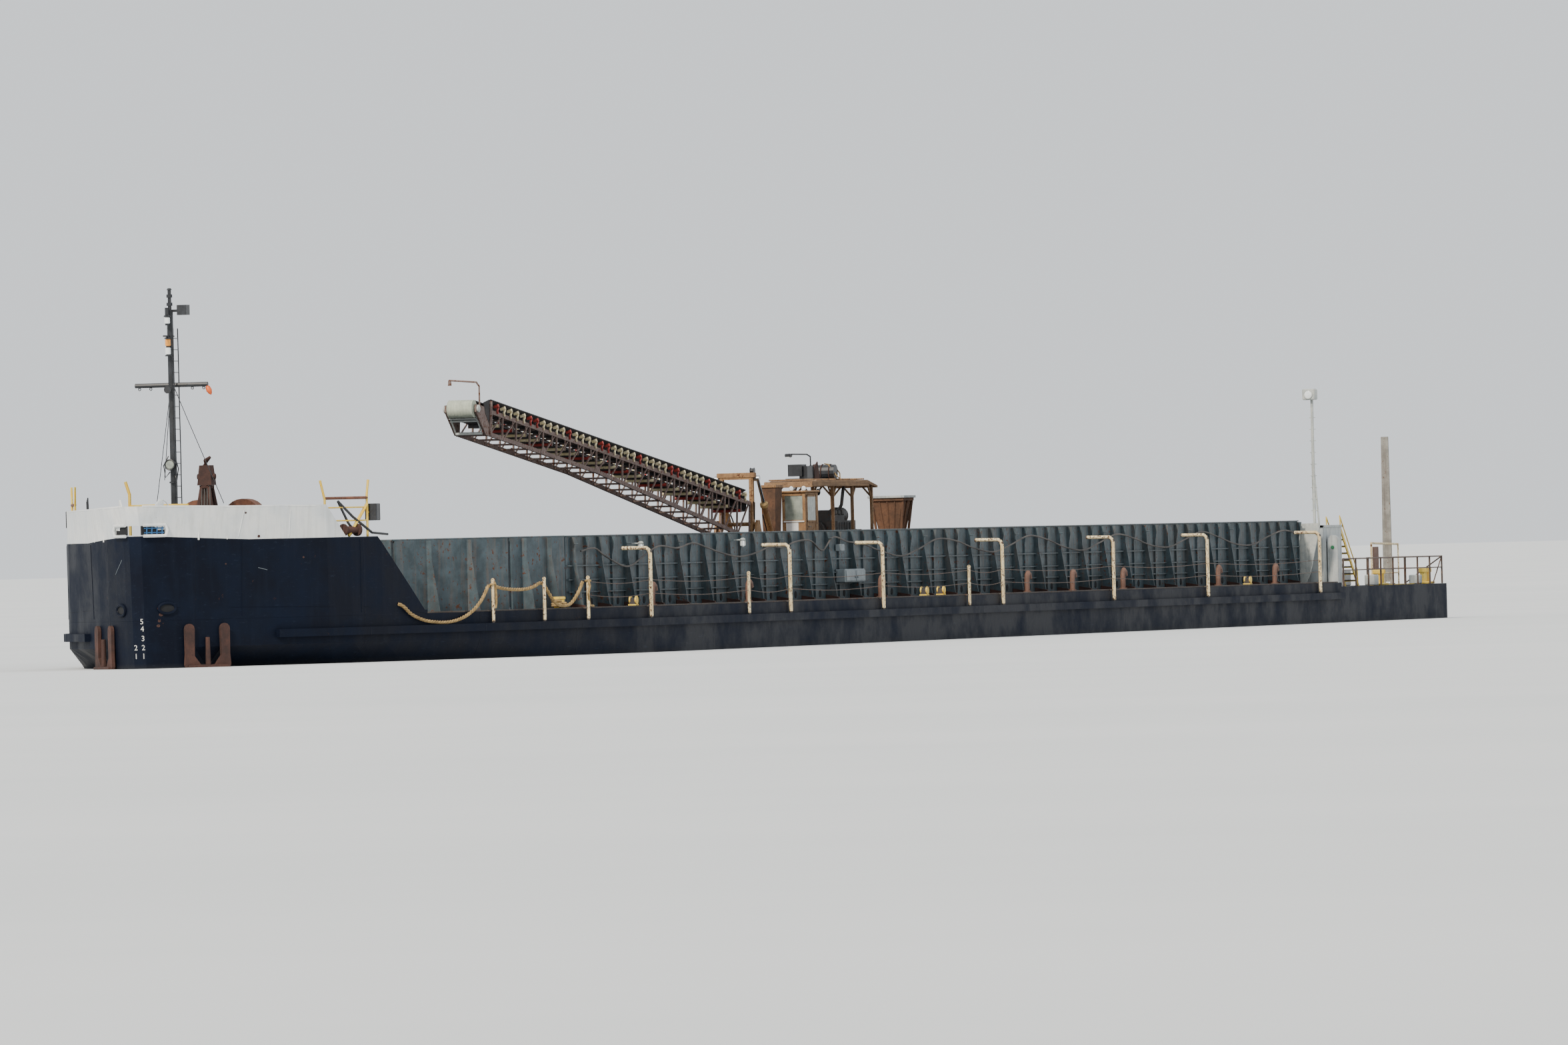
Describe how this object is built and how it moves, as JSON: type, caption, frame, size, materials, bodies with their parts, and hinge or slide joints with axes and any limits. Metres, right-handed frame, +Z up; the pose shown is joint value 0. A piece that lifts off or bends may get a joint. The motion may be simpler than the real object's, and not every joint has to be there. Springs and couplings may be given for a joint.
{
  "type": "deck cargo barge with pusher notch and unloading conveyor, scale model 1:10",
  "caption": "Notched river barge with an open cargo bin, raised forecastle and mast, and a slewing and luffing unloading conveyor, as a 1:10 scale model that stands on its flat bottom.",
  "frame": {"origin": "at the level of the flat bottom, half way along the overall length", "axes": "+X runs aft from bow to stern, +Y to starboard, +Z up"},
  "size_m": [12.335, 1.804, 1.762],
  "materials": {
    "hull_black": "satin",
    "bulwark_white": "satin",
    "bin_grey": "weathered matte",
    "rust_red": "weathered matte",
    "mast_black": "satin",
    "deck_yellow": "satin",
    "side_deck_brown": "weathered matte",
    "house_grey": "satin",
    "galvanised": "weathered matte",
    "rail_black": "matte",
    "mast_brown": "weathered matte",
    "gantry_cream": "satin",
    "conveyor_ochre": "weathered matte",
    "boom_brown": "weathered matte",
    "belt_rubber": "matte",
    "drum_lagging": "matte",
    "idler_cream": "satin",
    "rod_steel": "polished",
    "canopy_timber": "weathered matte",
    "engine_black": "matte",
    "manila_rope": "matte",
    "cable_rubber": "matte",
    "hopper_rust": "weathered matte"
  },
  "bodies": {
    "barge": {"hull": "hull_black", "forecastle": "hull_black", "rub_rail_port": "hull_black", "rub_rail_starboard": "hull_black", "bulwark": "bulwark_white", "anchor_port": "rust_red", "anchor_starboard": "rust_red", "winch_hood_port": "rust_red", "winch_hood_starboard": "rust_red", "windlass": "rust_red", "pedestal_stand": "rust_red", "pedestal_head": "rust_red", "bin_wall_port": "bin_grey", "bin_wall_starboard": "bin_grey", "bin_fore_panel_port": "bin_grey", "bin_fore_panel_starboard": "bin_grey", "bin_knee_panel_port": "bin_grey", "bin_knee_panel_starboard": "bin_grey", "bin_wall_fore": "bin_grey", "bin_wall_aft": "bin_grey", "side_deck_port": "side_deck_brown", "side_deck_starboard": "side_deck_brown", "mast": "mast_black", "mast_ladder": "mast_black", "deck_gate_port": "deck_yellow", "deck_gate_starboard": "deck_yellow", "bow_rail": "deck_yellow", "wing_bitts_port": "deck_yellow", "wing_bitts_starboard": "deck_yellow", "stern_stair": "deck_yellow", "end_bracket_port": "house_grey", "end_bracket_starboard": "house_grey", "stern_house": "house_grey", "stern_locker": "house_grey", "mooring_rope": "manila_rope", "festoon_cable": "cable_rubber", "flood_mast": "galvanised", "wing_rail_port": "rail_black", "wing_rail_starboard": "rail_black", "wing_mast": "mast_brown", "wing_gantry": "gantry_cream", "conveyor_stand": "conveyor_ochre", "cab": "conveyor_ochre", "chute": "conveyor_ochre", "canopy": "canopy_timber", "engine": "engine_black", "roof_gear": "engine_black", "hopper": "hopper_rust"},
    "turntable": {"turntable": "conveyor_ochre"},
    "boom": {"boom_truss": "boom_brown", "boom_portal": "conveyor_ochre", "boom_belt": "belt_rubber", "head_drum": "drum_lagging", "boom_head": "boom_brown", "boom_idlers": "idler_cream"},
    "luff_barrels": {"luff_barrel_port": "conveyor_ochre", "luff_barrel_starboard": "conveyor_ochre"},
    "luff_rods": {"luff_rod_port": "rod_steel", "luff_rod_starboard": "rod_steel"},
    "cab_door": {"cab_door": "conveyor_ochre"}
  },
  "joints": [
    {"name": "slew", "type": "hinge", "parent": "barge", "child": "turntable", "pos_m": [0.1245, 0, 0.9], "axis": [0, 0, 1], "range_deg": [-90, 90]},
    {"name": "luff", "type": "hinge", "parent": "turntable", "child": "boom", "pos_m": [0.0155, 0, 0.985], "axis": [0, 1, 0], "range_deg": [-4, 12]},
    {"name": "barrel_tilt", "type": "hinge", "parent": "turntable", "child": "luff_barrels", "pos_m": [0.1845, 0, 0.93], "axis": [0, 1, 0], "range_deg": [-2.2, 6]},
    {"name": "rod_slide", "type": "slide", "parent": "luff_barrels", "child": "luff_rods", "axis": [-0.5904, 0, 0.8071], "range_m": [-0.025, 0.013]},
    {"name": "cab_door_swing", "type": "hinge", "parent": "barge", "child": "cab_door", "pos_m": [0.5215, -0.1295, 1], "axis": [0, 0, 1], "range_deg": [0, 100]}
  ],
  "couplings": [
    {"joint": "barrel_tilt", "follows": "luff", "ratio": 0.459},
    {"joint": "rod_slide", "follows": "luff", "m_per_rad": -0.1083}
  ]
}
